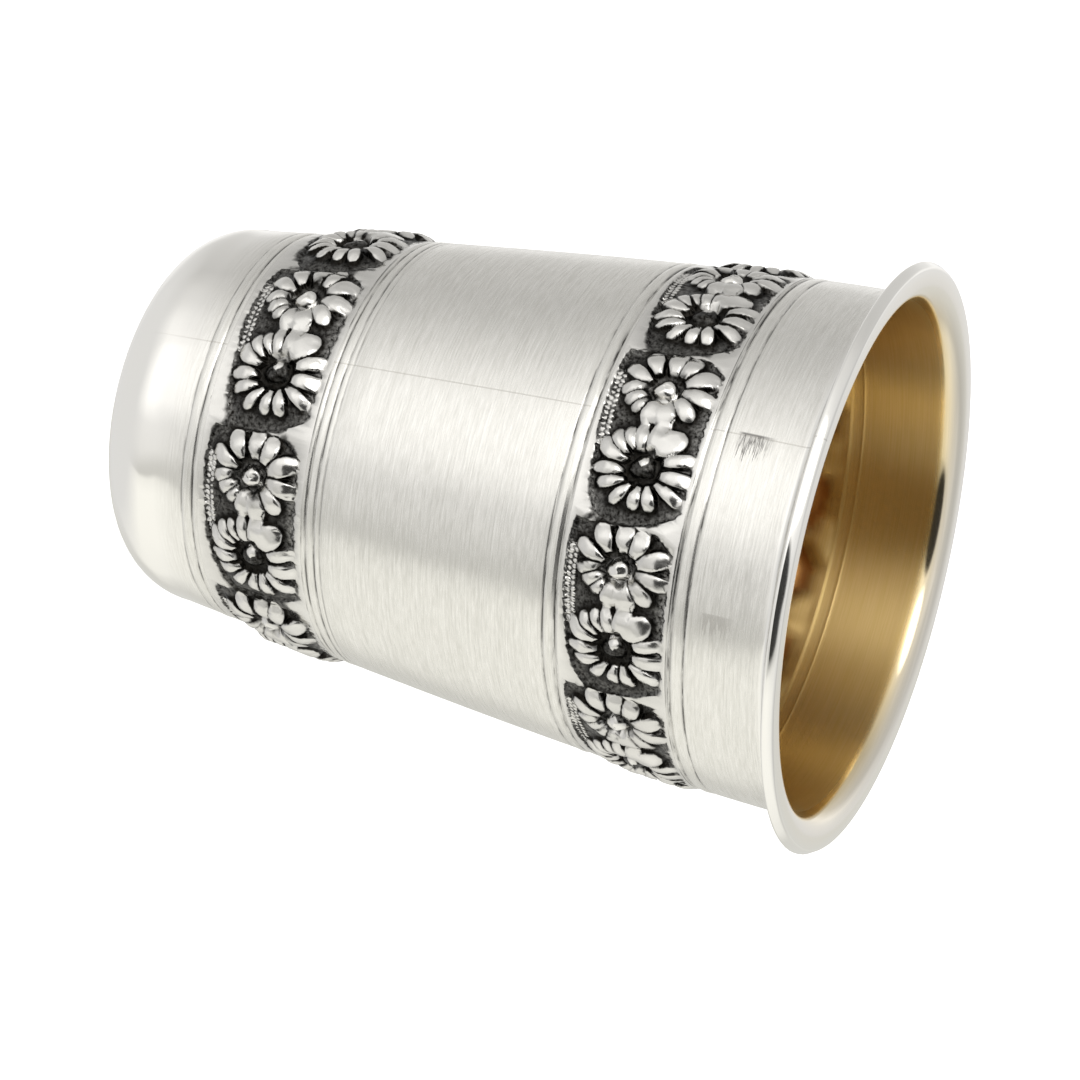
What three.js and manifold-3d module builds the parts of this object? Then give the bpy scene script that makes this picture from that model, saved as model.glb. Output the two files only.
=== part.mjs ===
// Kiddush cup: a tapered beaker of thin sterling sheet with a flared lip,
// a rounded foot and two pressed bands of overlapping daisies.
// Millimetres, +Z up, origin at the middle of the underside.

import * as THREE from 'three';
import { mergeVertices } from 'three/addons/utils/BufferGeometryUtils.js';
import Module from 'manifold-3d';

// Cup
const cupHeight = 80;
const sheet = 0.65;
const wallStart = 19.615; // radius that the wall's line would have at the underside
const wallTaper = 0.1213; // widening for each millimetre of height
const wallStraightening = 2.12; // how far the mouth has drawn back from that widening
const roundSides = 44;

// Rounded foot
const footCornerHeight = 7.1;
const footCornerReach = 6.3;
const footSteps = 4;

// Flared lip
const lipRadius = 30.65;
const lipEdge = 0.65; // half the thickness of the rounded edge
const lipFlareHeight = 2.0; // from where the wall turns out to the middle of the edge
const lipSteps = 2;
const edgeSteps = 3;

// Flower bands
const groundDepth = 0.25;
const groundSlope = 0.5;
const bands = [
  { middle: 19.8, halfWidth: 5.9, repeats: 7, start: 3.1 },
  { middle: 61.7, halfWidth: 5.9, repeats: 9, start: 5.1 },
];
const flowerTurns = [0.22, 0.69]; // places of the two daisies in one repeat
const leafTurn = 0.46;
const leafOffset = 1.4;
const leafWidth = 2.3;
const leafLength = 2.4;
const leafHeight = 0.95;
const leafSides = 6;

// Daisy
const petals = 12;
const petalReach = 5.3; // along the cup
const petalSquash = 0.87; // the daisies are narrower around the cup
const petalCrest = 0.85;
const petalValley = 0.0;
const valleyShrink = 0.8;
const bossHeight = 0.7;
const bossRadius = 1.6;
const crestRadius = 4.1;
const rootDepth = 0.42;

const wasm = await Module();
wasm.setup();

const degrees = Math.PI / 180;

function wallRadius(z) {
  return wallStart + wallTaper * z - wallStraightening * (z / cupHeight) ** 4;
}

// Points of a quarter of an ellipse about a centre, from one angle to the other.
function arc(centreR, centreZ, reach, rise, from, to, steps) {
  const points = [];
  for (let i = 0; i <= steps; i += 1) {
    const a = (from + ((to - from) * i) / steps) * degrees;
    points.push(new THREE.Vector2(centreR + reach * Math.cos(a), centreZ + rise * Math.sin(a)));
  }
  return points;
}

// Outline of the sheet from the underside, up the outside, over the lip and down the inside.
function cupProfile() {
  const point = (r, z) => new THREE.Vector2(r, z);
  const onWall = (z, height) => point(wallRadius(z) + height, z);
  const cornerRadius = wallRadius(footCornerHeight) - footCornerReach;
  const foot = arc(cornerRadius, footCornerHeight, footCornerReach, footCornerHeight, -90, 0, footSteps);
  const outside = [];
  for (const band of bands) {
    const low = band.middle - band.halfWidth;
    const high = band.middle + band.halfWidth;
    outside.push(onWall(low - groundSlope, 0), onWall(low, -groundDepth));
    outside.push(onWall(high, -groundDepth), onWall(high + groundSlope, 0));
  }
  const waist = (bands[0].middle + bands[1].middle) / 2;
  outside.splice(4, 0, onWall(waist, 0));

  const edgeRadius = lipRadius - lipEdge;
  const edgeHeight = cupHeight - lipEdge;
  const flareFoot = edgeHeight - lipFlareHeight;
  const flareReach = edgeRadius - wallRadius(flareFoot);
  const flare = arc(edgeRadius, flareFoot, -flareReach, lipFlareHeight - lipEdge, 0, 80, lipSteps);
  const edge = arc(edgeRadius, edgeHeight, lipEdge, lipEdge, -45, 90, edgeSteps);
  const innerReach = flareReach + sheet;
  const innerFoot = flareFoot - sheet;
  const innerLip = arc(edgeRadius, innerFoot, -innerReach, cupHeight - innerFoot, 60, 0, lipSteps);

  const inside = [onWall(waist, -sheet)];
  const corner = arc(
    cornerRadius, footCornerHeight, footCornerReach - sheet, footCornerHeight - sheet, 0, -90, footSteps - 1);
  return [point(0, 0), ...foot, ...outside, ...flare, ...edge, ...innerLip, ...inside, ...corner,
    point(0, sheet)];
}

// A closed three.js geometry as a solid, without the flat slivers at its poles.
function toSolid(geometry) {
  geometry.deleteAttribute('normal');
  geometry.deleteAttribute('uv');
  const merged = mergeVertices(geometry, 1e-4);
  const index = merged.index.array;
  const triangles = [];
  for (let i = 0; i < index.length; i += 3) {
    const [a, b, c] = [index[i], index[i + 1], index[i + 2]];
    if (a !== b && b !== c && c !== a) triangles.push(a, b, c);
  }
  const vertProperties = new Float32Array(merged.attributes.position.array);
  const triVerts = new Uint32Array(triangles);
  return new wasm.Manifold(new wasm.Mesh({ numProp: 3, vertProperties, triVerts }));
}

function toGeometry(solid) {
  const mesh = solid.getMesh();
  const geometry = new THREE.BufferGeometry();
  geometry.setAttribute('position', new THREE.BufferAttribute(mesh.vertProperties, 3));
  geometry.setIndex(new THREE.BufferAttribute(mesh.triVerts, 1));
  geometry.computeVertexNormals();
  return geometry;
}

// Lays a form made flat (x around the cup, y outwards, z down the cup) on the wall.
function wrap(geometry, turn, middle) {
  const position = geometry.attributes.position;
  const aroundRadius = wallRadius(middle);
  for (let i = 0; i < position.count; i += 1) {
    const angle = turn * degrees + position.getX(i) / aroundRadius;
    const z = middle - position.getZ(i);
    const r = wallRadius(z) + position.getY(i);
    position.setXYZ(i, r * Math.sin(angle), -r * Math.cos(angle), z);
  }
  return geometry;
}

// A daisy: a boss, then petals as ridges that fall to valleys and run out into the ground.
function daisy() {
  const point = (r, h) => new THREE.Vector2(r, h);
  const profile = [point(0, -rootDepth), point(petalReach, -rootDepth), point(crestRadius, petalCrest),
    point(bossRadius, petalValley), point(0, bossHeight)];
  const geometry = new THREE.LatheGeometry(profile, petals * 2);
  const position = geometry.attributes.position;
  for (let i = 0; i < position.count; i += 1) {
    const [x, y, z] = [position.getX(i), position.getY(i), position.getZ(i)];
    const r = Math.hypot(x, z);
    const side = Math.round((Math.atan2(x, z) / Math.PI) * petals);
    const onBoss = r < bossRadius * 1.01;
    const inValley = side % 2 !== 0 && !onBoss;
    const corner = onBoss ? Math.floor(side / 2) * 2 : side; // the boss has one side to a petal
    const angle = (corner * Math.PI) / petals;
    const reach = inValley ? r * valleyShrink : r;
    const height = inValley ? Math.min(y, petalValley) : y;
    position.setXYZ(i, reach * petalSquash * Math.sin(angle), height, reach * Math.cos(angle));
  }
  return geometry;
}

// The smooth fused petals between the two daisies.
function leaf() {
  const point = (r, h) => new THREE.Vector2(r, h);
  const profile = [point(0, -rootDepth), point(1, -rootDepth), point(0.7, leafHeight * 0.8),
    point(0, leafHeight)];
  const geometry = new THREE.LatheGeometry(profile, leafSides);
  geometry.scale(leafWidth, 1, leafLength);
  geometry.translate(0, 0, -leafOffset);
  return geometry;
}

function buildCup() {
  const beaker = new THREE.LatheGeometry(cupProfile(), roundSides);
  beaker.rotateX(90 * degrees);
  let solid = toSolid(beaker);
  for (const band of bands) {
    const pitch = 360 / band.repeats;
    for (let i = 0; i < band.repeats; i += 1) {
      const start = band.start + i * pitch;
      for (const turn of flowerTurns) {
        solid = solid.add(toSolid(wrap(daisy(), start + turn * pitch, band.middle)));
      }
      solid = solid.add(toSolid(wrap(leaf(), start + leafTurn * pitch, band.middle)));
    }
  }
  const silver = new THREE.MeshStandardMaterial({ color: 0xd9d7d1, roughness: 0.3, metalness: 1 });
  const mesh = new THREE.Mesh(toGeometry(solid), silver);
  mesh.name = 'cup';
  return mesh;
}

const kiddushCup = new THREE.Group();
kiddushCup.add(buildCup());

export default kiddushCup;
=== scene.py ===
import math

import bpy
import numpy as np
from mathutils import Matrix, Vector


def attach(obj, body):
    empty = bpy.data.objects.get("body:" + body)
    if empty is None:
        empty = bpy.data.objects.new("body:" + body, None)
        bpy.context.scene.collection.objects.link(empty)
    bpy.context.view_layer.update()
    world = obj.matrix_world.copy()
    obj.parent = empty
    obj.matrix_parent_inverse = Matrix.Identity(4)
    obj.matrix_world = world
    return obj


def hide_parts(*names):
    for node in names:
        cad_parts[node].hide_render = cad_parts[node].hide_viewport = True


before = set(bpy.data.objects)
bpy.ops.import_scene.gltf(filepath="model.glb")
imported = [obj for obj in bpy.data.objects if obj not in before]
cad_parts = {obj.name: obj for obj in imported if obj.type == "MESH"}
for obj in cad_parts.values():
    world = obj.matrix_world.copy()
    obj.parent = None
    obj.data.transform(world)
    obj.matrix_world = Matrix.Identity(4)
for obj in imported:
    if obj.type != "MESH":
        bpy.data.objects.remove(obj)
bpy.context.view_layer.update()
mm = 0.001
print("frame loaded")


# sRGB hex text to the linear colour that the shaders take
def linearColour(hexText):
    channels = [int(hexText[i:i + 2], 16) / 255 for i in (1, 3, 5)]
    return tuple(c / 12.92 if c <= 0.04045 else ((c + 0.055) / 1.055) ** 2.4 for c in channels) + (1.0,)


# adds one node: settings are its properties, inputs are socket values or links by name or number
# (Map Range: 0 value, 1 and 2 from, 3 and 4 to; Mix: 0 factor, 2 and 3 numbers, 6 and 7 colours)
def addNode(tree, kind, inputs=None, **settings):
    node = tree.nodes.new(kind)
    for name, value in settings.items():
        setattr(node, name, value)
    for name, value in (inputs or {}).items():
        if isinstance(value, bpy.types.NodeSocket):
            tree.links.new(value, node.inputs[name])
        else:
            node.inputs[name].default_value = value
    return node


# a material with an empty node tree
def newMaterial(name):
    material = bpy.data.materials.new(name)
    material.use_nodes = True
    material.node_tree.nodes.clear()
    return material, material.node_tree


# eased step from 0 at low to 1 at high
def smooth(low, high, x):
    t = np.clip((x - low) / (high - low), 0, 1)
    return t * t * (3 - 2 * t)


# the beaker, in millimetres
cup = {
    "height": 80.0,
    "sheet": 0.65,
    "wallStart": 19.615,  # radius of the wall's line at the underside
    "wallTaper": 0.1213,
    "wallStraightening": 2.12,  # how far the mouth has drawn back from that line
    "footCornerHeight": 7.1,
    "footCornerReach": 6.3,
    "lipUnder": (30.28, 79.15, 0.37),  # rounded edges below and above the lip's face: centre and radius
    "lipOver": (29.97, 79.62, 0.38),
    "lipFlareFoot": 77.35,
    "lipFlareRise": 1.35,
    "lipFullness": 3.2,  # 2 is an ellipse, more is a flatter top with a tighter turn down into the bowl
    "flareTurn": (0, 78),  # degrees of arc that the flare, the two edges and the inside of the lip take
    "underTurn": (-65, 15),
    "overTurn": (25, 90),
    "innerTurn": 82,
    "gilding": (80.6, 77.3),  # heights where the gold begins and where it is full
    # turned lines around the wall: height, depth (less than 0 is a ridge), half width
    "lines": [
        (11.55, 0.06, 0.12), (12.1, -0.05, 0.35), (12.85, 0.12, 0.13), (26.65, 0.14, 0.13),
        (27.15, -0.04, 0.3), (27.7, 0.09, 0.12), (28.4, 0.05, 0.1), (54.1, 0.12, 0.14),
        (54.65, -0.07, 0.35), (55.4, 0.2, 0.22), (67.85, 0.22, 0.2), (68.6, -0.05, 0.4),
        (69.35, 0.12, 0.12),
    ],
    "fullBlackDepth": 0.1,  # grooves this deep hold all the grime they can
    "blackWidth": 0.8,  # width of that grime as a share of the groove's
    # painted shade: grey laid on the rows of the flare under the lip, where its underside turns from the
    # light
    "flareShade": 0.4,
    "insideLines": 0.2,  # how much of the turned lines shows on the inside
    "dentBlur": 60,  # passes of averaging from the pressed flowers to their reverse inside
    "dentStain": 0.7,
    "stainedDents": (0.08, 0.3),  # depths where the stain begins and where it is full
    # the grid: columns around, rows of each stretch, and gaps between the rows of one stretch and the next
    "columns": 120,
    "dentColumns": 240,
    "dentRowStep": 4,
    "footRows": 15,
    "wallRows": 7,
    "flareRows": 8,
    "innerRows": 16,
    "floorRows": 9,
    "gap": 0.12,
    "insideGap": 0.3,
    "flareGap": 0.4,
    "innerGap": 0.6,
    "innerWallFoot": 8.2,
    "thinnedShare": 0.315,  # triangles left after thinning
}

# one repeat of the pressed strip, in millimetres along it (s) and across it (v)
strip = {
    "length": 19.75,
    "groundDepth": 0.4,
    "groundSlope": 0.4,
    "petalRise": 0.72,
    "petalSide": (-0.24, 0.02),  # where a petal's side begins and ends, from its outline inwards
    "petalDome": 0.09,
    "domeReach": 0.7,
    "petalRoot": 0.46,  # width at the root as a share of the full width
    "tipStretch": 1.15,  # a tip is half an ellipse, this much longer than round
    "rootHeight": 0.75,  # height at the root, and how far the tip dips, as shares
    "tipDip": 0.68,
    "crease": 0.1,  # half width of the black line between two petals
    "rootReach": 0.4,  # how far a petal runs on past its root into the pit
    # petals: root s, root v, tip s, tip v, width, sideways bend
    "petals": [
        (2.6, 0.35, -0.3, 0.25, 2.05, 0), (2.8, -1.3, 0.2, -2.6, 1.95, 0), (4, -1.85, 2.4, -4.6, 1.7, -0.1),
        (4.7, -2.1, 5.65, -4.4, 1.5, 0), (5.6, -1.7, 6.9, -3.6, 1.65, 0), (6.25, -1.25, 7.85, -2.5, 1.45, 0),
        (5.6, 1.65, 7.85, 3.85, 1.85, 0), (4.8, 2.2, 5.5, 5.65, 1.8, 0), (3.7, 2.2, 2.3, 5.15, 2.1, 0),
        (2.8, 1.45, 0.2, 2.4, 2.15, 0),
        (11.6, -1.05, 9.4, -2, 1.35, -0.15), (12.2, -1.9, 9.9, -3.1, 1.5, -0.3),
        (13.1, -1.9, 11.1, -4.4, 1.8, -0.4), (14.2, -1.8, 14.45, -4.75, 1.55, 0),
        (15.25, -1.4, 16.15, -4.1, 1.4, 0), (15.75, -0.55, 17.9, -2.2, 1.35, 0),
        (15.9, 0.5, 18.25, 0.2, 1.45, 0), (15.65, 1.45, 18.1, 2.25, 1.5, 0),
        (15.15, 2.35, 16.8, 5.2, 1.45, -0.1), (14.1, 2.3, 14.2, 5.8, 1.65, 0),
        (12.8, 2.2, 11.7, 5.65, 1.5, 0),
    ],
    # petals and leaves of the two flowers that run into each other, and over what width
    "leaves": [
        (6.2, -0.45, 9.2, -0.45, 2.1, 0), (6.2, 0.65, 9.2, 1.5, 2.4, 0), (11.7, -0.4, 8.9, -0.5, 1.8, 0),
        (11.7, 0.8, 9.6, 4.1, 2.7, 0), (11.9, 0.85, 8.5, 1.2, 2, 0),
    ],
    "leafMelt": 0.6,
    # cuts in them: both ends, half width at each end
    "slits": [
        (9.05, 0.08, 10.2, 0.12, 0.22, -0.03), (10.2, 0.12, 12.1, 0.18, -0.03, -0.03),
        (5.7, 0, 7.5, -0.05, -0.02, -0.09), (7.8, 2.15, 8.5, 1.75, 0, -0.06),
    ],
    # bosses in their pits: how black a pit is, how fast the soot ends outside it, and a bright spot: rubbed
    # on the first, a painted highlight on the second
    "bosses": [
        {"s": 4.75, "v": 0.1, "radius": 1.2, "top": 0.5, "pit": 1.5, "soot": 0.96, "fade": 0.08,
         "spotOffset": 0, "spotRadius": 1.0},
        {"s": 13.55, "v": 0.4, "radius": 1.3, "top": 0.38, "pit": 1.65, "soot": 0.995, "fade": 0.14,
         "spotOffset": -0.65, "spotRadius": 0.5},
    ],
    "pitDepth": 0.5,
    # outline of the sunk ground: v of one long edge by s, then s of both ends by v
    "edge": [
        (-0.5, -5.1), (2.5, -5.65), (7, -5.65), (10, -5.45), (12, -5.2), (13.4, -5.05), (15.2, -4.85),
        (16.3, -4.65), (17.5, -4.35), (18.4, -4.0), (19.3, -3.5), (20.2, -2.8),
    ],
    "otherEdge": 5.45,
    "near": [(-5.5, 0.2), (-3, 0.3), (0, 0.2), (2.5, 0.2), (3.2, 0.3), (4, 0.8), (5.3, 1.9)],
    "far": [(-3, 20.05), (0, 20.0), (2.3, 19.5), (4, 18.7), (4.8, 18.2), (5.3, 17.5)],
    "bulgeReach": 3,  # a panel swells over this far in from its outline, and less around the bosses
    "bossCalm": 0.6,
    "bossCalmRadius": 2.2,
    "openWear": 0.055,  # how much thinner the black is on open ground and at the other edge
    "edgeWear": 0.09,
    "plainRubbed": 0.3,  # how far inside what was rubbed bright the plain wall counts
    "bandFade": 0.5,  # the relief fades out this close to the first and last row of a band
    # rows of beads beside the long edge
    "beadSpacing": 0.62,
    "beadRows": (0.5, 1.04),
    "beadsFrom": 3.0,
    "beadsTo": 12.0,
    "beadRadius": 0.31,
    "beadHeight": 0.2,
}

# where the strip is pressed in: middle, lowest and highest row, repeats, start in degrees,
# columns and rows of the grid, and how far each panel bulges
bands = [
    {"middle": 19.9, "low": 13.6, "high": 26.1, "repeats": 7, "start": 3.1, "columns": 1200, "rows": 104,
     "bulge": 0.55},
    {"middle": 61.7, "low": 55.85, "high": 67.5, "repeats": 9, "start": 5.1, "columns": 1440, "rows": 98,
     "bulge": 0.2},
]
farAway = 9  # farther, in millimetres, than anything on a strip reaches
brushed, pressed, gilt = range(3)  # places of the three finishes on the cup


# straight taper, less a straightening that grows with the fourth power of height
def wallRadius(z):
    return cup["wallStart"] + cup["wallTaper"] * z - cup["wallStraightening"] * (z / cup["height"]) ** 4


# sum of soft-edged grooves, each a bell curve of height
def lineDepth(z):
    return sum(depth * np.exp(-((z - at) / width) ** 2) for at, depth, width in cup["lines"])


# black left in the grooves: narrower bell curves, by how deep each groove is
def lineBlack(z):
    full, share = cup["fullBlackDepth"], cup["blackWidth"]
    return sum(np.clip(depth / full, 0, 1) * np.exp(-((z - at) / width / share) ** 2)
               for at, depth, width in cup["lines"])


# even heights between two limits, with five extra rows at each turned line
def plainRows(low, high, count):
    rows = [np.linspace(low, high, count)]
    rows += [at + width * np.array([-2, -1, 0, 1, 2]) for at, depth, width in cup["lines"]]
    rows = np.unique(np.round(np.concatenate(rows), 3))
    return rows[(rows >= low) & (rows <= high)]


# part of an ellipse about a centre, angles in degrees
def arc(centreR, centreZ, reach, rise, start, end, count):
    a = np.radians(np.linspace(start, end, count))
    return np.stack([centreR + reach * np.cos(a), centreZ + rise * np.sin(a)], -1)


# value at x on straight lines between points
def between(points, x):
    return np.interp(x, *zip(*points))


# how far inside a petal's outline a place is, and how high the petal stands there as a share of its rise:
# the outline is a strip about the line from root to tip, swelling from the root and rounded off at the tip
def petalShape(s, v, petal):
    rootS, rootV, tipS, tipV, width, bend = petal
    size = math.hypot(tipS - rootS, tipV - rootV)
    alongS, alongV = (tipS - rootS) / size, (tipV - rootV) / size
    along = (s - rootS) * alongS + (v - rootV) * alongV
    u = along / size
    across = (s - rootS) * alongV - (v - rootV) * alongS - bend * 4 * u * (1 - u)
    half = width / 2 * (strip["petalRoot"] + (1 - strip["petalRoot"]) * smooth(-0.15, 0.42, u))
    past = np.clip(along - size + strip["tipStretch"] * half, 0, None) / strip["tipStretch"]
    inside = np.minimum(half - np.hypot(across, past), along + strip["rootReach"])
    rise = strip["rootHeight"] + (1 - strip["rootHeight"]) * smooth(-0.1, 0.3, u)
    return inside, rise * (1 - strip["tipDip"] * smooth(0.42, 1.1, u))


# distance from a line between two points, less a half width that changes along it
def slitGap(s, v, slit):
    s0, v0, s1, v1, half0, half1 = slit
    u = np.clip(((s - s0) * (s1 - s0) + (v - v0) * (v1 - v0)) / ((s1 - s0) ** 2 + (v1 - v0) ** 2), 0, 1)
    return np.hypot(s - s0 - u * (s1 - s0), v - v0 - u * (v1 - v0)) - half0 - (half1 - half0) * u


# larger of two with the corner between them rounded over a width
def blendMax(a, b, width):
    return np.maximum(a, b) + width / 4 * np.clip(1 - np.abs(a - b) / width, 0, None) ** 2


# the pressed strip over a grid of angles and heights: relief above the plain wall, how far a place lies
# inside what was rubbed bright, with a painted highlight on one boss (less than 0 is left black), how black
# that is, and where the beads are
def pressStrip(band, theta, z):
    length = strip["length"]
    s = (np.degrees(theta) - band["start"]) / (360 / band["repeats"]) % 1 * length
    s, v = np.broadcast_arrays(s[None, :], (z - band["middle"])[:, None])

    # sunk ground: how far inside its uneven outline, which may run a little into the next repeat
    def sunk(place):
        edge = v - between(strip["edge"], place)
        ends = np.minimum(place - between(strip["near"], v), between(strip["far"], v) - place)
        ragged = 0.1 * np.sin(18 * np.pi * place / length + 1) + 0.06 * np.sin(46 * np.pi * place / length)
        return np.minimum(np.minimum(edge, strip["otherEdge"] + ragged - v), ends)

    turn = 2 * np.pi * s / length
    uneven = 0.07 * np.sin(23 * turn + 2 * np.sin(3.1 * v)) + 0.05 * np.sin(41 * turn + 5 * v)
    inGround = np.maximum(sunk(s), sunk(s + length)) + uneven

    # petals: the nearest outline counts, and a crease runs where two are equally near
    best, crown = petalShape(s, v, strip["leaves"][0])
    for leaf in strip["leaves"][1:]:
        inside, height = petalShape(s, v, leaf)
        crown = np.where(inside > best, height, crown)
        best = blendMax(best, inside, strip["leafMelt"])
    for slit in strip["slits"]:
        best = np.minimum(best, slitGap(s, v, slit))
    second = np.full_like(best, -farAway)
    cut = s - between(strip["near"], v) + 0.05  # petals stop at the near end of their panel
    for petal in strip["petals"]:
        inside, height = petalShape(s, v, petal)
        inside = np.minimum(inside, cut)
        nearer = inside > best
        second = np.where(nearer, best, np.maximum(second, inside))
        crown = np.where(nearer, height, crown)
        best = np.where(nearer, inside, best)
    onPetal = np.minimum(best, (best - second) / 2) - strip["crease"]
    side = smooth(*strip["petalSide"], onPetal)
    dome = 1 - (1 - np.clip(onPetal / strip["domeReach"], 0, 1)) ** 2
    relief = crown * (strip["petalRise"] * side + strip["petalDome"] * dome)
    relief = relief - strip["groundDepth"] * np.maximum(smooth(0, strip["groundSlope"], inGround), side)
    # a panel swells by a parabola of how far inside its outline a place is
    bulge = band["bulge"] * (1 - (1 - np.clip(inGround / strip["bulgeReach"], 0, 1)) ** 2)

    # black stays wherever the rubbing did not reach, and is thinner on open ground and at the other edge
    rubbed = np.maximum(onPetal, -inGround * (1 - 0.8 * smooth(4.3, 5.2, v)))
    black = 1 - strip["openWear"] * smooth(0.1, 0.8, -onPetal) - strip["edgeWear"] * smooth(4.2, 5.3, v)

    # rows of half balls follow the long edge, a little unevenly
    beyond = v - between(strip["edge"], s) + 0.06 * np.sin(29 * turn)
    spacing, beadRadius = strip["beadSpacing"], strip["beadRadius"]
    away = np.full_like(best, farAway)
    for i, row in enumerate(strip["beadRows"]):
        place = (s + i * spacing / 2 + 0.06 * np.sin(37 * turn + i)) % spacing - spacing / 2
        away = np.minimum(away, np.hypot(place, beyond - row))
    clear = (s > strip["beadsFrom"]) & (s < strip["beadsTo"]) & (onPetal < -0.1)
    away = np.where(clear, away, farAway)
    relief = relief + strip["beadHeight"] * np.sqrt(np.clip(1 - (away / beadRadius) ** 2, 0, 1))
    rubbed = np.maximum(rubbed, 0.8 * beadRadius - away)

    # bosses are uneven half balls in uneven pits, into which the petals' roots run down
    pitDepth = strip["pitDepth"]
    for boss in strip["bosses"]:
        fromS, fromV = s - boss["s"], v - boss["v"]
        around = np.arctan2(fromV, fromS)
        r = np.hypot(fromS, fromV) * (1 + 0.06 * np.sin(2 * around + 0.6) + 0.05 * np.sin(3 * around + 2))
        brink = boss["pit"] + 0.16 * np.sin(7 * around) + 0.1 * np.sin(4 * around + 1)
        pit = 1 - smooth(-0.1, 0.5, r - brink)
        relief = relief * (1 - pit) - pitDepth * pit
        swell = np.sqrt(np.clip(1 - (r / boss["radius"]) ** 2, 0, 1)) * (1 + 0.1 * np.sin(2 * around + 3 * r))
        raised = np.maximum(relief, (boss["top"] + pitDepth) * swell - pitDepth)
        relief = np.where(r < boss["radius"], raised, relief)
        rubbed = np.minimum(rubbed, boss["fade"] * (r - brink))
        # the bright spot: on the first boss the rubbing reached its top, on the second it is a painted
        # highlight, silver left in the soot where the dome catches the light
        spot = np.hypot(fromS - boss["spotOffset"], 0.8 * fromV)
        spot = spot + 0.12 * np.sin(3 * around + 1) + 0.07 * np.sin(5 * around)
        rubbed = np.maximum(rubbed, boss["spotRadius"] - spot)
        black = black + (boss["soot"] - 0.035 * swell - black) * pit
        bulge = bulge * (1 - strip["bossCalm"] * np.exp(-(r / strip["bossCalmRadius"]) ** 2))
    return relief + bulge, rubbed, black, away < spacing / 2


# repeated three-point averages, closed around the cup
def blurGrid(grid, passes):
    for _ in range(passes):
        grid = (np.roll(grid, 1, 1) + 2 * grid + np.roll(grid, -1, 1)) / 4
        padded = np.concatenate([grid[:1], grid, grid[-1:]])
        grid = (padded[:-2] + 2 * padded[1:-1] + padded[2:]) / 4
    return grid


# triangles between rows of a grid closed around the cup
def gridTriangles(first, rows, columns):
    i = np.arange(rows - 1)[:, None] * columns + first
    j = np.arange(columns)[None, :]
    k = (j + 1) % columns
    a, b, c, d = i + j, i + k, i + columns + k, i + columns + j
    return np.concatenate([np.stack([a, b, c], -1).reshape(-1, 3), np.stack([a, c, d], -1).reshape(-1, 3)])


# fans of triangles from a row of few columns to a row of a whole number of times as many
def fanTriangles(coarse, coarseColumns, fine, fineColumns, fineAbove):
    times = fineColumns // coarseColumns
    half = times // 2
    j = np.arange(coarseColumns)
    here, following = coarse + j, coarse + (j + 1) % coarseColumns
    triangles = []
    for m in range(times):
        apex = here if m < half else following
        b0 = fine + (j * times + m) % fineColumns
        b1 = fine + (j * times + m + 1) % fineColumns
        triangles.append(np.stack([apex, b1, b0] if fineAbove else [b0, b1, apex], -1))
    middle = fine + j * times + half
    triangles.append(np.stack([here, following, middle] if fineAbove else [middle, following, here], -1))
    return np.concatenate(triangles)


# even angles around the cup from the back, 0 is the front
def ringAngles(columns):
    return np.arange(columns) / columns * 2 * np.pi - np.pi


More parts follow.
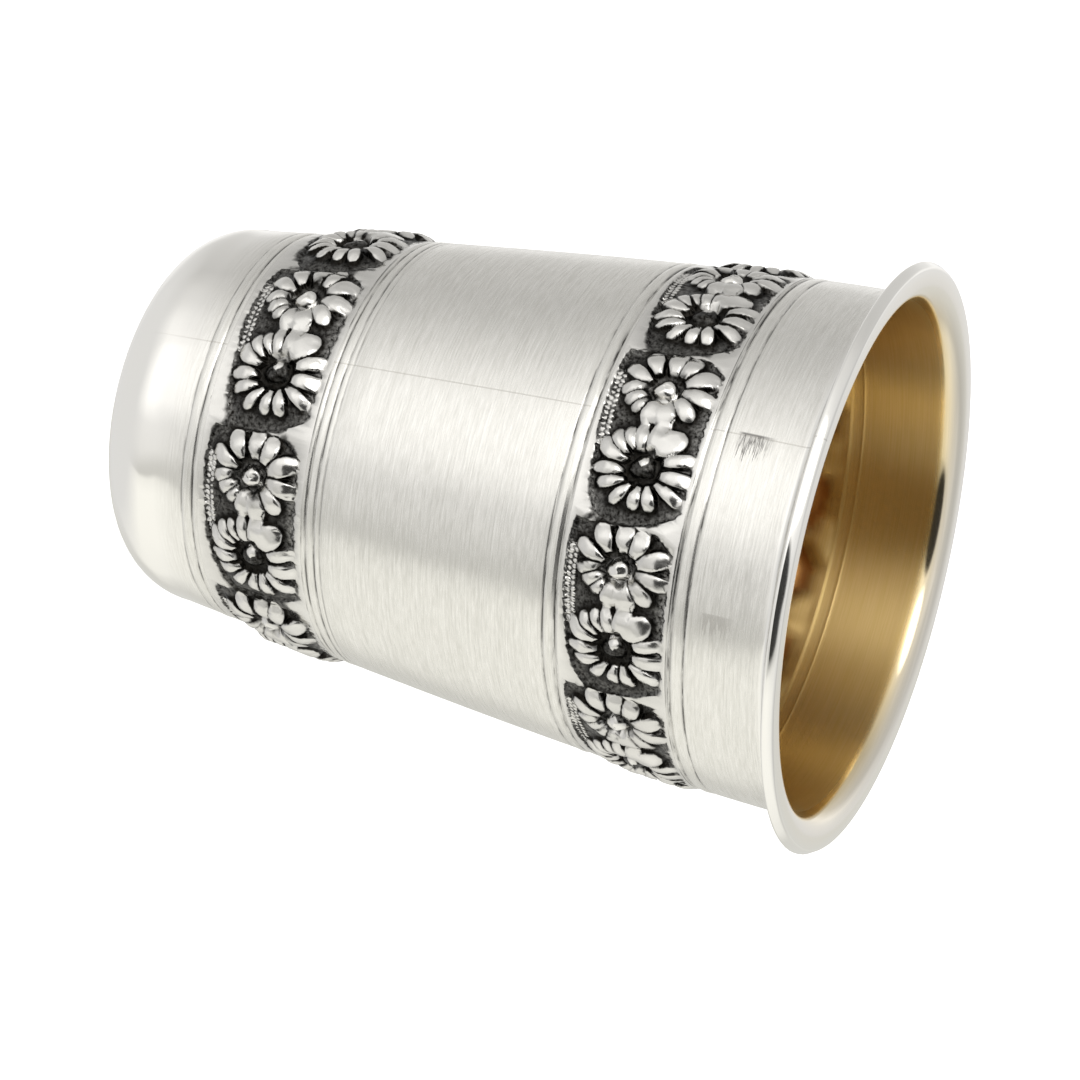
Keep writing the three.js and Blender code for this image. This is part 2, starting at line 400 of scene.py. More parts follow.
# the sheet as one closed surface: rows of a profile, each turned about the axis,
# run from the underside up the outside, over the lip and down the inside to the floor
def buildCup():
    zones = []
    markNames = ("blackening", "rubbed", "gilding")
    columns, sheet, gap, insideGap = cup["columns"], cup["sheet"], cup["gap"], cup["insideGap"]

    # a zone is some rows with as many columns each; its radius and marks are a number, one by row or a grid
    def addZone(radius, z, columns, finish, **marks):
        def spread(a):
            a = np.asarray(a, float).reshape(len(z), -1) if np.ndim(a) else a
            return np.broadcast_to(a, (len(z), columns))

        zones.append({"r": spread(radius), "z": spread(z), "columns": columns, "finish": finish})
        zones[-1].update({mark: spread(marks.get(mark, 0.0)) for mark in markNames + ("kept",)})

    cornerHeight, cornerReach = cup["footCornerHeight"], cup["footCornerReach"]
    corner = wallRadius(cornerHeight) - cornerReach
    foot = arc(corner, cornerHeight, cornerReach, cornerHeight, -90, 0, cup["footRows"])
    lowWall = plainRows(cornerHeight + 1, bands[0]["low"] - gap, 4)
    r = np.concatenate([[corner / 3, corner / 1.5], foot[:, 0], wallRadius(lowWall) - lineDepth(lowWall)])
    z = np.concatenate([[0, 0], foot[:, 1], lowWall])
    addZone(r, z, columns, brushed, blackening=lineBlack(z))

    dents = []
    for band, after in zip(bands, (bands[1]["low"], None)):
        z = np.linspace(band["low"], band["high"], band["rows"])
        relief, rubbed, black, beads = pressStrip(band, ringAngles(band["columns"]), z)
        edge = smooth(0, strip["bandFade"], np.minimum(z - band["low"], band["high"] - z))[:, None]
        radius = (wallRadius(z) - lineDepth(z))[:, None] + relief * edge
        rubbed = rubbed * edge + strip["plainRubbed"] * (1 - edge)
        addZone(radius, z, band["columns"], pressed, blackening=black, rubbed=rubbed, kept=beads)
        dent = blurGrid(relief * edge, cup["dentBlur"])
        dents.append((z, dent[:, ::band["columns"] // cup["dentColumns"]]))
        if after:
            wall = plainRows(band["high"] + gap, after - gap, cup["wallRows"])
            addZone(wallRadius(wall) - lineDepth(wall), wall, columns, brushed, blackening=lineBlack(wall))

    # flare below the lip and the two rounded edges of its face
    flareFoot = cup["lipFlareFoot"]
    under, over = cup["lipUnder"], cup["lipOver"]
    top = plainRows(bands[1]["high"] + gap, flareFoot - cup["flareGap"], 5)
    flareReach = wallRadius(flareFoot) - under[0]
    flare = arc(under[0], flareFoot, flareReach, cup["lipFlareRise"], *cup["flareTurn"], cup["flareRows"])
    face = [arc(*under[:2], under[2], under[2], *cup["underTurn"], 7),
            arc(*over[:2], over[2], over[2], *cup["overTurn"], 6)]
    profile = np.concatenate([np.stack([wallRadius(top) - lineDepth(top), top], -1), flare] + face)
    # grime in the turned lines, and painted shade on the rows of the flare under the lip
    grimeAndShade = lineBlack(profile[:, 1])
    grimeAndShade[len(top) + 2:len(top) + len(flare) + 2] = cup["flareShade"]
    addZone(profile[:, 0], profile[:, 1], columns, brushed, blackening=grimeAndShade)

    # inside of the lip: quarter of a fuller than round ellipse
    innerFoot = flareFoot - sheet
    turn = np.radians(np.linspace(cup["innerTurn"], 0, cup["innerRows"]))
    innerReach = over[0] - wallRadius(innerFoot) + sheet
    innerR = over[0] - innerReach * np.cos(turn) ** (2 / cup["lipFullness"])
    innerZ = innerFoot + (cup["height"] - innerFoot) * np.sin(turn) ** (2 / cup["lipFullness"])
    addZone(innerR, innerZ, columns, gilt, gilding=smooth(*cup["gilding"], innerZ))

    # inside wall and floor, one sheet in from the outside, with the soft reverse of the flowers
    for (z, dent), band in reversed(list(zip(dents, bands))):
        pick = np.arange(len(z) - 1, -1, -cup["dentRowStep"])
        above = innerFoot - cup["innerGap"] if band is bands[1] else bands[1]["low"] - insideGap
        wall = plainRows(band["high"] + insideGap, above, 5)[::-1]
        radius = wallRadius(wall) - sheet - cup["insideLines"] * lineDepth(wall)
        addZone(radius, wall, columns, gilt, gilding=1)
        z, dent = z[pick], dent[pick]
        addZone((wallRadius(z) - sheet)[:, None] + dent, z, cup["dentColumns"], gilt, gilding=1,
                blackening=cup["dentStain"] * smooth(*cup["stainedDents"], dent))
    wall = plainRows(cup["innerWallFoot"], bands[0]["low"] - insideGap, 3)[::-1]
    floor = arc(corner, cornerHeight, cornerReach - sheet, cornerHeight - sheet, 0, -90, cup["floorRows"])
    r = np.concatenate([wallRadius(wall) - sheet, floor[:, 0], [corner / 1.5, corner / 3]])
    addZone(r, np.concatenate([wall, floor[:, 1], [sheet] * 2]), columns, gilt, gilding=1)

    points, triangles, finishes, relief = [], [], [], []
    start = 0
    for n, zone in enumerate(zones):
        rows, across = zone["r"].shape
        theta = ringAngles(across)[None, :]
        turned = np.stack([zone["r"] * np.sin(theta), -zone["r"] * np.cos(theta), zone["z"]], -1)
        points.append(turned.reshape(-1, 3))
        joins = [gridTriangles(start, rows, across)]
        if n:
            last = zones[n - 1]["columns"]
            if across > last:
                joins.append(fanTriangles(start - last, last, start, across, True))
            elif across < last:
                joins.append(fanTriangles(start, across, start - last, last, False))
            else:
                joins.append(gridTriangles(start - last, 2, across))
        triangles += joins
        finishes += [np.full(len(t), zone["finish"]) for t in joins]
        relief.append((zone["kept"].ravel() == 0) & (zone["finish"] == pressed))
        relief[-1][:across] = relief[-1][-across:] = False  # rows at the seams stay whole
        start += rows * across

    # underside and floor close on one point each
    ring = np.arange(columns)
    following = (ring + 1) % columns
    rim = start - columns
    points.append(np.array([[0, 0, 0], [0, 0, sheet]]))
    triangles.append(np.stack([np.full_like(ring, start), following, ring], -1))
    triangles.append(np.stack([rim + ring, rim + following, np.full_like(ring, start + 1)], -1))
    finishes += [np.full(columns, brushed), np.full(columns, gilt)]
    relief.append(np.array([False, False]))
    marks = {}
    for mark in markNames:
        ends = np.array([0.0, mark == "gilding"])
        marks[mark] = np.concatenate([zone[mark].ravel() for zone in zones] + [ends])
    piece = putMesh("cup_silver", np.concatenate(points) * mm, np.concatenate(triangles),
                    np.concatenate(finishes), marks)
    return piece, np.flatnonzero(np.concatenate(relief))


# a mesh object from arrays: points, triangles, the finish of each triangle and the marks of each point
def putMesh(name, points, triangles, finishes, marks):
    mesh = bpy.data.meshes.new(name)
    mesh.vertices.add(len(points))
    mesh.vertices.foreach_set("co", points.astype(np.float32).ravel())
    mesh.loops.add(triangles.size)
    mesh.loops.foreach_set("vertex_index", triangles.astype(np.int32).ravel())
    mesh.polygons.add(len(triangles))
    mesh.polygons.foreach_set("loop_start", np.arange(0, triangles.size, 3, dtype=np.int32))
    mesh.polygons.foreach_set("material_index", finishes.astype(np.int32))
    for mark, values in marks.items():
        layer = mesh.attributes.new(mark, "FLOAT", "POINT")
        layer.data.foreach_set("value", values.astype(np.float32))
    mesh.update(calc_edges=True)
    mesh.validate()
    mesh.shade_smooth()
    piece = bpy.data.objects.new(name, mesh)
    bpy.context.scene.collection.objects.link(piece)
    return piece


# thins the triangles of the pressed strips where they are flat, down to a share of what the grid had
def thinRelief(piece, vertices, share):
    group = piece.vertex_groups.new(name="relief")
    group.add(vertices.tolist(), 1.0, "REPLACE")
    thin = piece.modifiers.new("thin", "DECIMATE")
    thin.ratio = share
    thin.vertex_group = group.name
    graph = bpy.context.evaluated_depsgraph_get()
    mesh = bpy.data.meshes.new_from_object(piece.evaluated_get(graph))
    piece.modifiers.clear()
    piece.vertex_groups.clear()
    piece.data = mesh
    mesh.shade_smooth()


# what the finishes share
metal = {
    "silver": "#F5F3EE",
    "soot": "#171512",
    "shineTurn": 0.25,  # a quarter turn draws the shine out across the brushing
}


# streaks of brushing around the cup: noise drawn out level and squeezed upright; real scratches
# are some hundredths of a millimetre wide, so these are drawn coarser to show
def brushStreaks(tree, place, width, length):
    scale = (1 / (length * mm), 1 / (length * mm), 1 / (width * mm))
    stretch = addNode(tree, "ShaderNodeMapping", {"Vector": place, "Scale": scale})
    noise = addNode(tree, "ShaderNodeTexNoise",
                    {"Vector": stretch.outputs[0], "Scale": 1.0, "Detail": 4.0, "Roughness": 0.65})
    return noise.outputs["Fac"]


# brushed silver, sizes and heights in millimetres
brushedLook = {
    "light": "#FCFAF5",
    "dark": "#DDDBD4",
    "streakWidth": 0.14,
    "streakLength": 8,
    "dashWidth": 0.2,
    "dashLength": 1.8,
    "footPolish": (8, 12),  # heights over which the polished foot turns into the brushed wall
    "lipPolish": (77.0, 77.6),  # and the brushed wall into the polished lip
    "polishRoughness": 0.1,
    "satinRoughness": (0.22, 0.33),
    "anisotropy": 0.75,
    "scratchDepth": 0.02,
    "scratchStrength": 0.18,
    "waveSize": 9,  # soft unevenness of hand finishing, and how much of it is left on the wall
    "waveHeight": 0.42,
    "wallWaves": 0.27,
    "patchWidth": 0.5,  # grime lies in patches along the turned lines
    "patchLength": 5,
    # painted reflection: the thin dark line of a light box's edge mirrored in the wall, drawn on the sheet:
    # degrees from the front, half width, colour, how clearly it shows, and the heights over which it comes up
    # from the foot
    "reflectedEdge": {"angle": -18.5, "halfWidth": 0.12, "colour": "#8F887C", "share": 0.36, "from": 4, "to": 12},
    # patches of hairlines: corner of the edge each begins at, size, colour, darkness along the hairlines and
    # at the edge
    "hairPatches": [
        # painted reflection: a dark thing in the room mirrored in the wall, broken up by the brushing
        {"at": (-8.75, -26.0, 70.7), "size": (2.7, 8.0, 2.7), "colour": "#63605E", "body": 0.2, "edge": 0.8},
        # a greyer patch of the same kind
        {"at": (8.9, -25.5, 70.9), "size": (2.4, 8.0, 2.6), "colour": "#D3D0CA", "body": 0.7, "edge": 0.0},
    ],
    "hairWidth": 0.13,
    "hairLength": 4,
}


# sterling silver sheet, spun and brushed around: soft mirror drawn out along the cup, fine rings of
# scratches, a brighter polish low on the foot, grime in the turned lines, painted shade under the lip,
# and painted reflections: a dark hairline down the front and a patch of broken hairlines below the lip
def brushedSterling():
    look = brushedLook
    material, tree = newMaterial("sterling_silver_brushed")
    place = addNode(tree, "ShaderNodeTexCoord").outputs["Object"]
    parts = addNode(tree, "ShaderNodeSeparateXYZ", {0: place})
    height = parts.outputs["Z"]
    footLow, footHigh, lipLow, lipHigh = [at * mm for at in look["footPolish"] + look["lipPolish"]]
    foot = addNode(tree, "ShaderNodeMapRange", {0: height, 1: footLow, 2: footHigh})
    lip = addNode(tree, "ShaderNodeMapRange", {0: height, 1: lipLow, 2: lipHigh, 3: 1.0, 4: 0.0})
    wall = addNode(tree, "ShaderNodeMath", {0: foot.outputs[0], 1: lip.outputs[0]}, operation="MULTIPLY")
    lines = brushStreaks(tree, place, look["streakWidth"], look["streakLength"])
    dashes = brushStreaks(tree, place, look["dashWidth"], look["dashLength"])
    streaks = addNode(tree, "ShaderNodeMix", {0: 0.5, 2: lines, 3: dashes}).outputs[0]
    tone = addNode(tree, "ShaderNodeMapRange", {0: streaks, 1: 0.32, 2: 0.68, 4: wall.outputs[0]})
    light, dark, soot = [linearColour(c) for c in (look["light"], look["dark"], metal["soot"])]
    silver = addNode(tree, "ShaderNodeMix", {0: tone.outputs[0], 6: light, 7: dark}, data_type="RGBA")
    # the mark holds the grime in the turned lines and the painted shade under the lip
    black = addNode(tree, "ShaderNodeAttribute", attribute_name="blackening").outputs["Fac"]
    patches = brushStreaks(tree, place, look["patchWidth"], look["patchLength"])
    patchy = addNode(tree, "ShaderNodeMapRange", {0: patches, 1: 0.44, 2: 0.56, 3: 0.2, 4: 1.0})
    grimeAndShade = addNode(tree, "ShaderNodeMath", {0: black, 1: patchy.outputs[0]}, operation="MULTIPLY")
    lined = addNode(tree, "ShaderNodeMix",
                    {0: grimeAndShade.outputs[0], 6: silver.outputs[2], 7: soot}, data_type="RGBA")

    # the painted reflection is a dark hairline, the mirrored edge of a light box, where a plane through the
    # axis cuts the front of the cup
    reflectedEdge = look["reflectedEdge"]
    turned = math.radians(reflectedEdge["angle"])
    across = (math.cos(turned), math.sin(turned), 0)
    off = addNode(tree, "ShaderNodeVectorMath", {0: place, 1: across}, operation="DOT_PRODUCT")
    off = addNode(tree, "ShaderNodeMath", {0: off.outputs["Value"]}, operation="ABSOLUTE")
    fade = addNode(tree, "ShaderNodeMapRange",
                   {0: height, 1: reflectedEdge["from"] * mm, 2: reflectedEdge["to"] * mm, 4: reflectedEdge["share"]})
    front = addNode(tree, "ShaderNodeMapRange",
                    {0: parts.outputs["Y"], 1: -1 * mm, 2: 0.0, 3: fade.outputs[0], 4: 0.0})
    line = addNode(tree, "ShaderNodeMapRange",
                   {0: off.outputs[0], 2: reflectedEdge["halfWidth"] * mm, 3: front.outputs[0], 4: 0.0})
    withReflectedEdge = addNode(tree, "ShaderNodeMix",
                     {0: line.outputs[0], 6: lined.outputs[2], 7: linearColour(reflectedEdge["colour"])},
                     data_type="RGBA")

    # patches below the lip: a dark edge, then hairlines along the brushing, darkest where each runs out; the
    # first is a painted reflection of a dark thing in the room
    hairs = brushStreaks(tree, place, look["hairWidth"], look["hairLength"])
    reach = addNode(tree, "ShaderNodeMapRange", {0: hairs, 1: 0.38, 2: 0.64, 3: 0.1, 4: 1.1})
    colour = withReflectedEdge.outputs[2]
    for hairPatch in look["hairPatches"]:
        around = addNode(tree, "ShaderNodeMapping",
                         {"Vector": place, "Location": [c * mm for c in hairPatch["at"]],
                          "Scale": [c * mm for c in hairPatch["size"]]}, vector_type="TEXTURE")
        x, y, z = addNode(tree, "ShaderNodeSeparateXYZ", {0: around.outputs[0]}).outputs
        run = addNode(tree, "ShaderNodeMath", {0: reach.outputs[0], 1: x}, operation="SUBTRACT").outputs[0]
        ended = addNode(tree, "ShaderNodeMapRange", {0: run, 1: 0.0, 2: 0.12})
        faded = addNode(tree, "ShaderNodeMapRange", {0: run, 1: 0.15, 2: 0.6, 3: 1.0, 4: hairPatch["body"]})
        dark = addNode(tree, "ShaderNodeMath",
                       {0: ended.outputs[0], 1: faded.outputs[0]}, operation="MULTIPLY")
        edge = addNode(tree, "ShaderNodeMapRange", {0: x, 1: 0.03, 2: 0.08, 3: hairPatch["edge"], 4: 0.0})
        dark = addNode(tree, "ShaderNodeMath", {0: dark.outputs[0], 1: edge.outputs[0]}, operation="MAXIMUM")
        # where it starts, its lower and upper limit, and only on the front
        limits = [(x, -0.05, 0.0, 0.0, 1.0), (z, -0.1, 0.1, 0.0, 1.0),
                  (z, 0.8, 1.4, 1.0, 0.0), (y, 0.9, 1.0, 1.0, 0.0)]
        for limit in limits:
            mask = addNode(tree, "ShaderNodeMapRange", dict(enumerate(limit)))
            dark = addNode(tree, "ShaderNodeMath",
                           {0: dark.outputs[0], 1: mask.outputs[0]}, operation="MULTIPLY")
        colour = addNode(tree, "ShaderNodeMix",
                         {0: dark.outputs[0], 6: colour, 7: linearColour(hairPatch["colour"])},
                         data_type="RGBA").outputs[2]

    satinLow, satinHigh = look["satinRoughness"]
    satin = addNode(tree, "ShaderNodeMapRange", {0: streaks, 1: 0.35, 2: 0.65, 3: satinLow, 4: satinHigh})
    rough = addNode(tree, "ShaderNodeMix",
                    {0: wall.outputs[0], 2: look["polishRoughness"], 3: satin.outputs[0]})
    waves = addNode(tree, "ShaderNodeTexNoise",
                    {"Vector": place, "Scale": 1 / (look["waveSize"] * mm), "Detail": 1.0})
    calm = addNode(tree, "ShaderNodeMapRange", {0: wall.outputs[0], 3: 1.0, 4: look["wallWaves"]})
    uneven = addNode(tree, "ShaderNodeBump",
                     {"Strength": calm.outputs[0], "Distance": look["waveHeight"] * mm,
                      "Height": waves.outputs["Fac"]})
    depth = addNode(tree, "ShaderNodeMath",
                    {0: wall.outputs[0], 1: look["scratchStrength"]}, operation="MULTIPLY")
    bump = addNode(tree, "ShaderNodeBump",
                   {"Strength": depth.outputs[0], "Distance": look["scratchDepth"] * mm,
                    "Height": streaks, "Normal": uneven.outputs[0]})
    tangent = addNode(tree, "ShaderNodeTangent", direction_type="RADIAL", axis="Z")
    shader = addNode(tree, "ShaderNodeBsdfPrincipled",
                     {"Base Color": colour, "Metallic": 1.0, "Roughness": rough.outputs[0],
                      "Anisotropic": look["anisotropy"], "Anisotropic Rotation": metal["shineTurn"],
                      "Tangent": tangent.outputs[0], "Normal": bump.outputs[0]})
    addNode(tree, "ShaderNodeOutputMaterial", {"Surface": shader.outputs[0]})
    return material


# pressed and blackened silver, sizes in millimetres
pressedLook = {
    "wearSize": 2.2,  # the rubbing went this much further in some places than in others
    "wearReach": 0.1,
    "gritSize": 0.4,
    "gritDepth": 0.05,
    "gritStrength": 0.12,
    "film": (0.26, 0.03),  # trace of black that is left near a petal's edge and in its middle
    "brightRoughness": 0.17,
    "sootRoughness": 0.34,
}


# pressed sterling, blackened and rubbed back: bright petals over a sooty matt ground, with a painted
# highlight left in the black on one boss
def pressedSterling():
    look = pressedLook
    material, tree = newMaterial("sterling_silver_pressed_blackened")
    place = addNode(tree, "ShaderNodeTexCoord").outputs["Object"]
    black, rubbed = [addNode(tree, "ShaderNodeAttribute", attribute_name=name).outputs["Fac"]
                     for name in ("blackening", "rubbed")]
    reach = addNode(tree, "ShaderNodeTexNoise",
                    {"Vector": place, "Scale": 1 / (look["wearSize"] * mm), "Detail": 3.0})
    wear = addNode(tree, "ShaderNodeMapRange",
                   {0: reach.outputs["Fac"], 1: 0.25, 2: 0.75, 3: -look["wearReach"], 4: look["wearReach"]})
    rubbed = addNode(tree, "ShaderNodeMath", {0: rubbed, 1: wear.outputs[0]}, operation="ADD").outputs[0]
    bright = addNode(tree, "ShaderNodeMapRange",
                     {0: rubbed, 1: -0.05, 2: 0.06}, interpolation_type="SMOOTHSTEP")
    grit = addNode(tree, "ShaderNodeTexNoise",
                   {"Vector": place, "Scale": 1 / (look["gritSize"] * mm), "Detail": 3.0, "Roughness": 0.65})
    grit = grit.outputs["Fac"]
    # the grit breaks up the black where that is thin
    thin = addNode(tree, "ShaderNodeMath", {0: black, 1: -1.0}, operation="ADD")
    worn = addNode(tree, "ShaderNodeMapRange", {0: grit, 1: 0.36, 2: 0.68, 3: 0.0, 4: 3.2})
    broken = addNode(tree, "ShaderNodeMath",
                     {0: thin.outputs[0], 1: worn.outputs[0], 2: 1.0}, operation="MULTIPLY_ADD")
    filmEdge, filmMiddle = look["film"]
    film = addNode(tree, "ShaderNodeMapRange", {0: rubbed, 1: 0.0, 2: 0.5, 3: filmEdge, 4: filmMiddle})
    left = addNode(tree, "ShaderNodeMapRange",
                   {0: bright.outputs[0], 3: broken.outputs[0], 4: film.outputs[0]})
    silver, soot = linearColour(metal["silver"]), linearColour(metal["soot"])
    colour = addNode(tree, "ShaderNodeMix", {0: left.outputs[0], 6: silver, 7: soot}, data_type="RGBA")
    rough = addNode(tree, "ShaderNodeMapRange",
                    {0: left.outputs[0], 3: look["brightRoughness"], 4: look["sootRoughness"]})
    bump = addNode(tree, "ShaderNodeBump",
                   {"Strength": look["gritStrength"], "Distance": look["gritDepth"] * mm, "Height": grit})
    shader = addNode(tree, "ShaderNodeBsdfPrincipled",
                     {"Base Color": colour.outputs[2], "Metallic": 1.0, "Roughness": rough.outputs[0],
                      "Normal": bump.outputs[0]})
    addNode(tree, "ShaderNodeOutputMaterial", {"Surface": shader.outputs[0]})
    return material


# the gilt inside, sizes in millimetres
giltLook = {
    "gold": "#EBD198",
    "dullGold": "#DEC482",
    "tarnish": "#B9743C",
    "streakWidth": 0.14,
    "streakLength": 8,
    "scratchDepth": 0.02,
    "scratchStrength": 0.15,
    "lipRoughness": 0.12,
    "satinRoughness": 0.33,
    "anisotropy": 0.8,
}


# silver gilt, brushed around: warm satin inside that thins to silver on the lip, reddish in the dents
def giltSterling():
    look = giltLook
    material, tree = newMaterial("silver_gilt_brushed")
    place = addNode(tree, "ShaderNodeTexCoord").outputs["Object"]
    gilding, dents = [addNode(tree, "ShaderNodeAttribute", attribute_name=name).outputs["Fac"]
                      for name in ("gilding", "blackening")]
    streaks = brushStreaks(tree, place, look["streakWidth"], look["streakLength"])
    tone = addNode(tree, "ShaderNodeMapRange", {0: streaks, 1: 0.25, 2: 0.75})
    silver, tarnish = linearColour(metal["silver"]), linearColour(look["tarnish"])
    bright, dull = linearColour(look["gold"]), linearColour(look["dullGold"])
    gold = addNode(tree, "ShaderNodeMix", {0: tone.outputs[0], 6: bright, 7: dull}, data_type="RGBA")
    stained = addNode(tree, "ShaderNodeMix", {0: dents, 6: gold.outputs[2], 7: tarnish}, data_type="RGBA")
    colour = addNode(tree, "ShaderNodeMix", {0: gilding, 6: silver, 7: stained.outputs[2]}, data_type="RGBA")
    rough = addNode(tree, "ShaderNodeMapRange",
                    {0: gilding, 1: 0.75, 2: 1.0, 3: look["lipRoughness"], 4: look["satinRoughness"]})
    bump = addNode(tree, "ShaderNodeBump", {"Strength": look["scratchStrength"],
                                            "Distance": look["scratchDepth"] * mm, "Height": streaks})
    tangent = addNode(tree, "ShaderNodeTangent", direction_type="RADIAL", axis="Z")
    shader = addNode(tree, "ShaderNodeBsdfPrincipled",
                     {"Base Color": colour.outputs[2], "Metallic": 1.0, "Roughness": rough.outputs[0],
                      "Anisotropic": look["anisotropy"], "Anisotropic Rotation": metal["shineTurn"],
                      "Tangent": tangent.outputs[0], "Normal": bump.outputs[0]})
    addNode(tree, "ShaderNodeOutputMaterial", {"Surface": shader.outputs[0]})
    return material


cupPiece, reliefVertices = buildCup()
print("cup grid:", len(cupPiece.data.polygons), "triangles")
for finish in (brushedSterling(), pressedSterling(), giltSterling()):
    cupPiece.data.materials.append(finish)
thinRelief(cupPiece, reliefVertices, cup["thinnedShare"])
print("cup thinned:", len(cupPiece.data.polygons), "triangles")
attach(cupPiece, "root")
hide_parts("cup")

# floor and light
studio = {
    "floorSize": 12.0,
    "floorColour": "#F3F2EF",
    "floorClouds": "#F6F5F3",  # soft patches of a slightly lighter tone, and their size in millimetres
    "cloudSize": 300,
    "floorRoughness": 0.7,
    "floorGlow": 0.8,
    # brightness of the panels around the cup: degrees from the camera's side towards +X
    "panels": [
        (-180, 0.75), (-170, 0.84), (-160, 0.99), (-150, 0.8), (-144, 0.69), (-128, 0.62), (-112, 0.59),
        (-96, 0.56), (-80, 0.63), (-64, 0.77), (-48, 0.98), (-39, 1.07), (-37, 1.15), (-16, 1.24), (0, 1.18),
        (16, 0.86), (32, 0.82), (44, 0.65), (51.5, 0.6), (54, 0.9), (64, 0.99), (80, 0.98), (96, 0.97),
        (112, 0.95), (128, 0.9), (144, 0.66), (160, 0.67), (180, 0.72),
    ],
    "warmth": 0.035,  # how much less blue the panels on the far side from the window are
    "warmFrom": 20,
    "warmTo": 60,
    "ceiling": (0.72, 0.5),  # in front and behind
    "ceilingShare": 0.78,  # how much of it covers the panels overhead
    "below": 0.74,
    # two patches in the room: direction, degrees off it where each begins and where it is full, brightness
    "dark": {"side": (0.39, -0.84, 0.37), "start": 25, "full": 21, "level": 0.05},
    "window": {"side": (-0.42, -0.79, 0.45), "start": 21, "full": 15, "level": 2.6},
}


# a ring of soft white panels of uneven brightness by compass direction, a white ceiling and table,
# and a dark and a bright patch in the room
def lightStudio():
    world = bpy.data.worlds.new("studio")
    bpy.context.scene.world = world
    world.use_nodes = True
    tree = world.node_tree
    tree.nodes.clear()
    way = addNode(tree, "ShaderNodeTexCoord").outputs["Generated"]
    parts = addNode(tree, "ShaderNodeSeparateXYZ", {0: way})
    away = addNode(tree, "ShaderNodeMath", {0: parts.outputs["Y"], 1: -1.0}, operation="MULTIPLY")
    compass = addNode(tree, "ShaderNodeMath",
                      {0: parts.outputs["X"], 1: away.outputs[0]}, operation="ARCTAN2")
    turn = addNode(tree, "ShaderNodeMapRange",
                   {0: compass.outputs[0], 1: -math.pi, 2: math.pi, 3: 0.0, 4: 1.0})
    ring = addNode(tree, "ShaderNodeValToRGB", {0: turn.outputs[0]})
    ramp = ring.color_ramp.elements
    while len(ramp) > 1:
        ramp.remove(ramp[-1])
    for i, (degree, level) in enumerate(studio["panels"]):
        at = (degree + 180) / 360
        stop = ramp[0] if i == 0 else ramp.new(at)
        stop.position = at
        warm = studio["warmth"] * smooth(studio["warmFrom"], studio["warmTo"], degree)
        stop.color = (level, level * 0.995, level * (0.985 - warm), 1)
    height = addNode(tree, "ShaderNodeMapRange",
                     {0: parts.outputs["Z"], 1: 0.35, 2: 0.75, 3: 0.0, 4: studio["ceilingShare"]})
    before, behind = studio["ceiling"]
    ceiling = addNode(tree, "ShaderNodeMapRange",
                      {0: parts.outputs["Y"], 1: -0.3, 2: 0.6, 3: before, 4: behind})
    dome = addNode(tree, "ShaderNodeMix",
                   {0: height.outputs[0], 6: ring.outputs[0], 7: ceiling.outputs[0]}, data_type="RGBA")
    depth = addNode(tree, "ShaderNodeMapRange", {0: parts.outputs["Z"], 1: -0.6, 2: -0.85, 3: 0.0, 4: 1.0})
    table = (studio["below"],) * 3 + (1,)
    room = addNode(tree, "ShaderNodeMix",
                   {0: depth.outputs[0], 6: dome.outputs[2], 7: table}, data_type="RGBA")

    # brightness by the angle from a direction: 1 outside the patch, its level inside, by the cosine between
    def patch(side, start, full, level):
        facing = addNode(tree, "ShaderNodeVectorMath", {0: way, 1: Vector(side).normalized()},
                         operation="DOT_PRODUCT")
        begins, ends = math.cos(math.radians(start)), math.cos(math.radians(full))
        return addNode(tree, "ShaderNodeMapRange",
                       {0: facing.outputs["Value"], 1: begins, 2: ends, 3: 1.0, 4: level}).outputs[0]

    strength = addNode(tree, "ShaderNodeMath", {0: patch(**studio["dark"]), 1: patch(**studio["window"])},
                       operation="MULTIPLY")
    back = addNode(tree, "ShaderNodeBackground", {"Color": room.outputs[2], "Strength": strength.outputs[0]})
    addNode(tree, "ShaderNodeOutputWorld", {"Surface": back.outputs[0]})


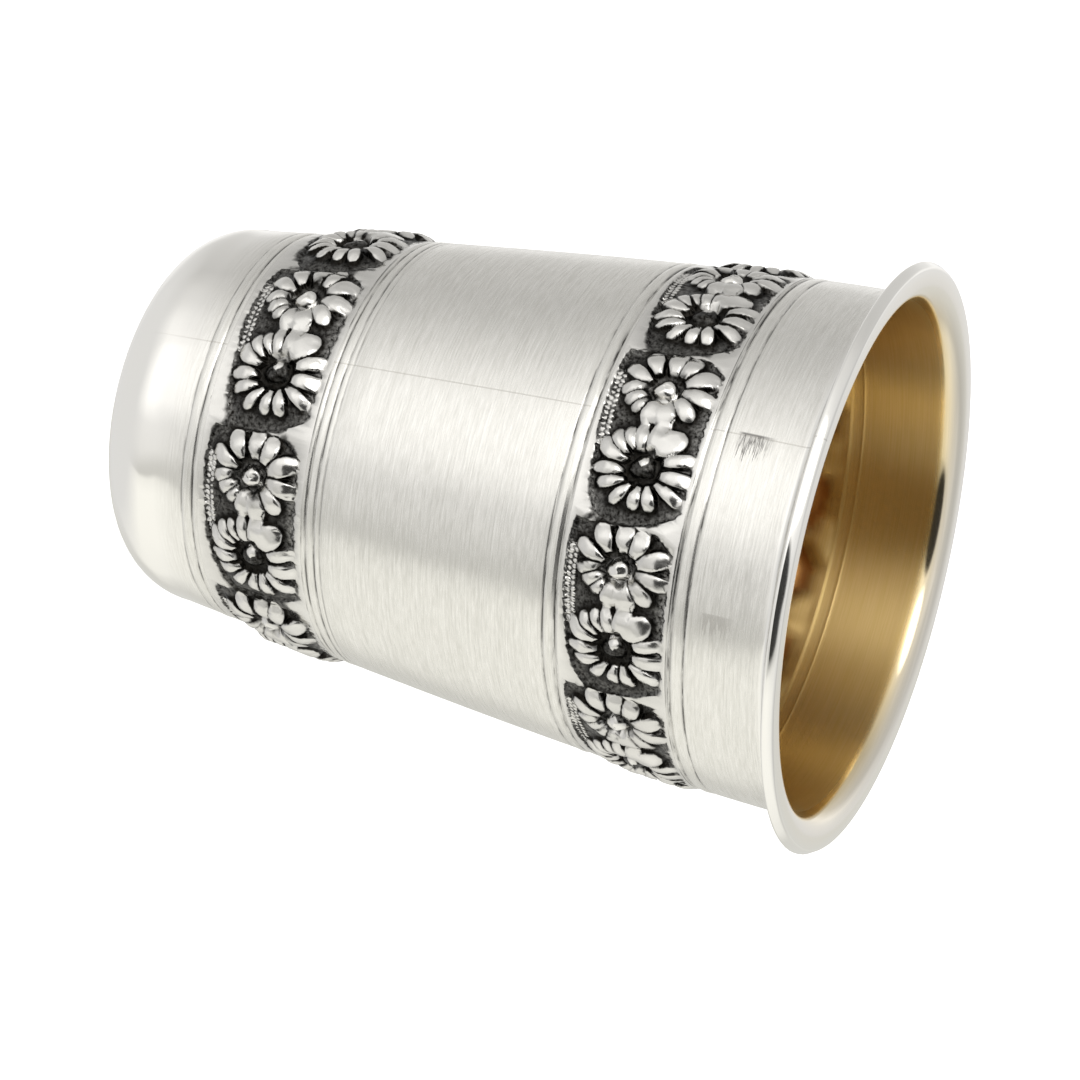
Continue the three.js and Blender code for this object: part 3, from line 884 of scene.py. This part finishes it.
# white laminate, a plain pale floor that glows a little, as on a light table
def layFloor():
    material, tree = newMaterial("floor_white_laminate")
    place = addNode(tree, "ShaderNodeTexCoord").outputs["Object"]
    clouds = addNode(tree, "ShaderNodeTexNoise",
                     {"Vector": place, "Scale": 1 / (studio["cloudSize"] * mm), "Detail": 2.0})
    plain, pale = linearColour(studio["floorColour"]), linearColour(studio["floorClouds"])
    colour = addNode(tree, "ShaderNodeMix", {0: clouds.outputs["Fac"], 6: plain, 7: pale}, data_type="RGBA")
    shader = addNode(tree, "ShaderNodeBsdfPrincipled",
                     {"Base Color": colour.outputs[2], "Roughness": studio["floorRoughness"],
                      "Specular IOR Level": 0.2, "Emission Color": (1, 1, 1, 1),
                      "Emission Strength": studio["floorGlow"]})
    addNode(tree, "ShaderNodeOutputMaterial", {"Surface": shader.outputs[0]})
    half = studio["floorSize"] / 2
    mesh = bpy.data.meshes.new("floor")
    corners = [(-half, -half, 0), (half, -half, 0), (half, half, 0), (-half, half, 0)]
    mesh.from_pydata(corners, [], [(0, 1, 2, 3)])
    mesh.materials.append(material)
    floor = bpy.data.objects.new("floor", mesh)
    floor.visible_glossy = False
    bpy.context.scene.collection.objects.link(floor)


lightStudio()
layFloor()
bpy.context.scene.view_settings.view_transform = "Standard"
print("studio lit")

# the camera looks down at the cup and is rolled, so that the cup seems to lie with its mouth to the right
view = {
    "aim": (5.58, 0.0, 44.05),
    "distance": 375.5,
    "elevation": 19.9,
    "roll": 103.0,
    "lens": 119.7,
    "sensor": 36,
    "clip": (0.01, 100),
}


# the camera's axes: one back from the aim at its elevation, the other two turned about that by the roll
def placeCamera():
    elevation, roll = math.radians(view["elevation"]), math.radians(view["roll"])
    back = Vector((0, -math.cos(elevation), math.sin(elevation)))
    level = Vector((1, 0, 0))
    rise = back.cross(level)
    right = level * math.cos(roll) + rise * math.sin(roll)
    up = back.cross(right)
    camera = bpy.data.objects.new("camera", bpy.data.cameras.new("camera"))
    camera.data.lens = view["lens"]
    camera.data.sensor_width = view["sensor"]
    camera.data.clip_start, camera.data.clip_end = view["clip"]
    turned = Matrix((right, up, back)).transposed().to_4x4()
    camera.matrix_world = Matrix.Translation((Vector(view["aim"]) + back * view["distance"]) * mm) @ turned
    bpy.context.scene.collection.objects.link(camera)
    bpy.context.scene.camera = camera


placeCamera()
print("camera placed")
